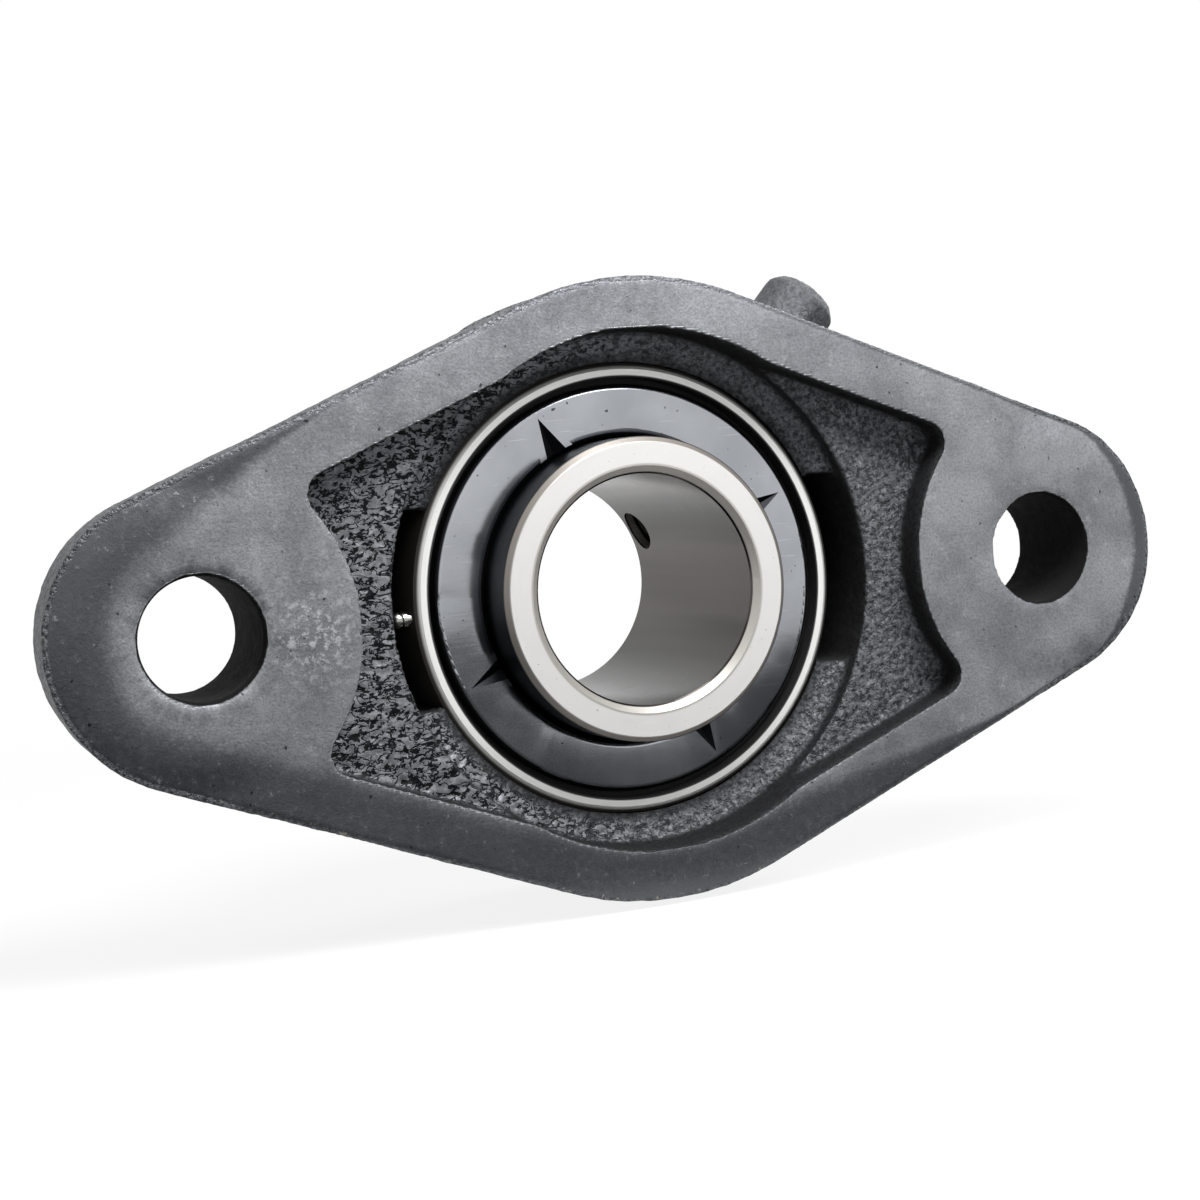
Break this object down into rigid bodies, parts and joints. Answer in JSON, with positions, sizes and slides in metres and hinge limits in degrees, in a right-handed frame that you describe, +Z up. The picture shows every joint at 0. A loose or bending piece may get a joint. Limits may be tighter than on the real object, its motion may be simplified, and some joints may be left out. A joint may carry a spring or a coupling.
{
  "type": "flange bearing",
  "caption": "Two-bolt rhombic flange unit: cast housing with a self-aligning set-screw ball bearing insert for a 30 mm shaft.",
  "frame": {"origin": "centre of the mounting face, on the shaft axis, midway between the two bolt holes", "axes": "+Y along the shaft from the mounting face to the set screws, +X along the bolt line, +Z up"},
  "size_m": [0.1542, 0.0402, 0.0823],
  "materials": {
    "cast_iron": "as cast and ground, dark grey",
    "ground_steel": "ground",
    "turned_steel": "turned and honed",
    "polished_steel": "polished",
    "pressed_steel": "pressed strip",
    "seal_rubber": "moulded nitrile rubber",
    "flinger_steel": "phosphated, satin grey",
    "blackened_steel": "blackened",
    "zinc_plate": "zinc plated"
  },
  "bodies": {
    "housing": {"flange_housing": "cast_iron", "grease_nipple": "zinc_plate", "nipple_spring": "polished_steel"},
    "outer_ring": {"outer_ring": "ground_steel", "locating_pin": "polished_steel", "seal_core_back": "pressed_steel", "seal_lip_back": "seal_rubber", "seal_core_front": "pressed_steel", "seal_lip_front": "seal_rubber"},
    "inner_ring": {"inner_ring": "turned_steel", "flinger_back": "flinger_steel", "flinger_front": "flinger_steel"},
    "cage": {"cage_back": "pressed_steel", "cage_front": "pressed_steel", "cage_rivets": "pressed_steel"},
    "ball_1": {"ball_1": "polished_steel"},
    "ball_2": {"ball_2": "polished_steel"},
    "ball_3": {"ball_3": "polished_steel"},
    "ball_4": {"ball_4": "polished_steel"},
    "ball_5": {"ball_5": "polished_steel"},
    "ball_6": {"ball_6": "polished_steel"},
    "ball_7": {"ball_7": "polished_steel"},
    "ball_8": {"ball_8": "polished_steel"},
    "ball_9": {"ball_9": "polished_steel"},
    "set_screw_1": {"set_screw_1": "blackened_steel"},
    "set_screw_2": {"set_screw_2": "blackened_steel"},
    "nipple_ball": {"nipple_ball": "polished_steel"}
  },
  "joints": [
    {"name": "insert_tilt", "type": "hinge", "parent": "housing", "child": "outer_ring", "pos_m": [0, 0.018, 0], "axis": [1, 0, 0], "range_deg": [-3, 3]},
    {"name": "shaft_spin", "type": "hinge", "parent": "outer_ring", "child": "inner_ring", "pos_m": [0, 0.018, 0], "axis": [0, 1, 0], "continuous": true},
    {"name": "cage_orbit", "type": "hinge", "parent": "outer_ring", "child": "cage", "pos_m": [0, 0.018, 0], "axis": [0, 1, 0], "continuous": true},
    {"name": "ball_1_spin", "type": "hinge", "parent": "cage", "child": "ball_1", "pos_m": [0.02265, 0.018, 0], "axis": [0, 1, 0], "continuous": true},
    {"name": "ball_2_spin", "type": "hinge", "parent": "cage", "child": "ball_2", "pos_m": [0.01735, 0.018, 0.01456], "axis": [0, 1, 0], "continuous": true},
    {"name": "ball_3_spin", "type": "hinge", "parent": "cage", "child": "ball_3", "pos_m": [0.00393, 0.018, 0.02231], "axis": [0, 1, 0], "continuous": true},
    {"name": "ball_4_spin", "type": "hinge", "parent": "cage", "child": "ball_4", "pos_m": [-0.01132, 0.018, 0.01962], "axis": [0, 1, 0], "continuous": true},
    {"name": "ball_5_spin", "type": "hinge", "parent": "cage", "child": "ball_5", "pos_m": [-0.02128, 0.018, 0.00775], "axis": [0, 1, 0], "continuous": true},
    {"name": "ball_6_spin", "type": "hinge", "parent": "cage", "child": "ball_6", "pos_m": [-0.02128, 0.018, -0.00775], "axis": [0, 1, 0], "continuous": true},
    {"name": "ball_7_spin", "type": "hinge", "parent": "cage", "child": "ball_7", "pos_m": [-0.01132, 0.018, -0.01962], "axis": [0, 1, 0], "continuous": true},
    {"name": "ball_8_spin", "type": "hinge", "parent": "cage", "child": "ball_8", "pos_m": [0.00393, 0.018, -0.02231], "axis": [0, 1, 0], "continuous": true},
    {"name": "ball_9_spin", "type": "hinge", "parent": "cage", "child": "ball_9", "pos_m": [0.01735, 0.018, -0.01456], "axis": [0, 1, 0], "continuous": true},
    {"name": "set_screw_1_travel", "type": "slide", "parent": "inner_ring", "child": "set_screw_1", "axis": [0.8988, 0, 0.4384], "range_m": [-0.0018, 0.003]},
    {"name": "set_screw_2_travel", "type": "slide", "parent": "inner_ring", "child": "set_screw_2", "axis": [-0.829, 0, 0.5592], "range_m": [-0.0018, 0.003]},
    {"name": "nipple_ball_travel", "type": "slide", "parent": "housing", "child": "nipple_ball", "axis": [-0.6441, -0.3746, -0.667], "range_m": [0, 0.0008], "stiffness_N_per_m": 200, "springref_m": -0.001, "deforming": ["nipple_spring"]}
  ],
  "couplings": [
    {"joint": "cage_orbit", "follows": "shaft_spin", "ratio": 0.39487},
    {"joint": "ball_1_spin", "follows": "shaft_spin", "ratio": -2.2728},
    {"joint": "ball_2_spin", "follows": "shaft_spin", "ratio": -2.2728},
    {"joint": "ball_3_spin", "follows": "shaft_spin", "ratio": -2.2728},
    {"joint": "ball_4_spin", "follows": "shaft_spin", "ratio": -2.2728},
    {"joint": "ball_5_spin", "follows": "shaft_spin", "ratio": -2.2728},
    {"joint": "ball_6_spin", "follows": "shaft_spin", "ratio": -2.2728},
    {"joint": "ball_7_spin", "follows": "shaft_spin", "ratio": -2.2728},
    {"joint": "ball_8_spin", "follows": "shaft_spin", "ratio": -2.2728},
    {"joint": "ball_9_spin", "follows": "shaft_spin", "ratio": -2.2728}
  ]
}
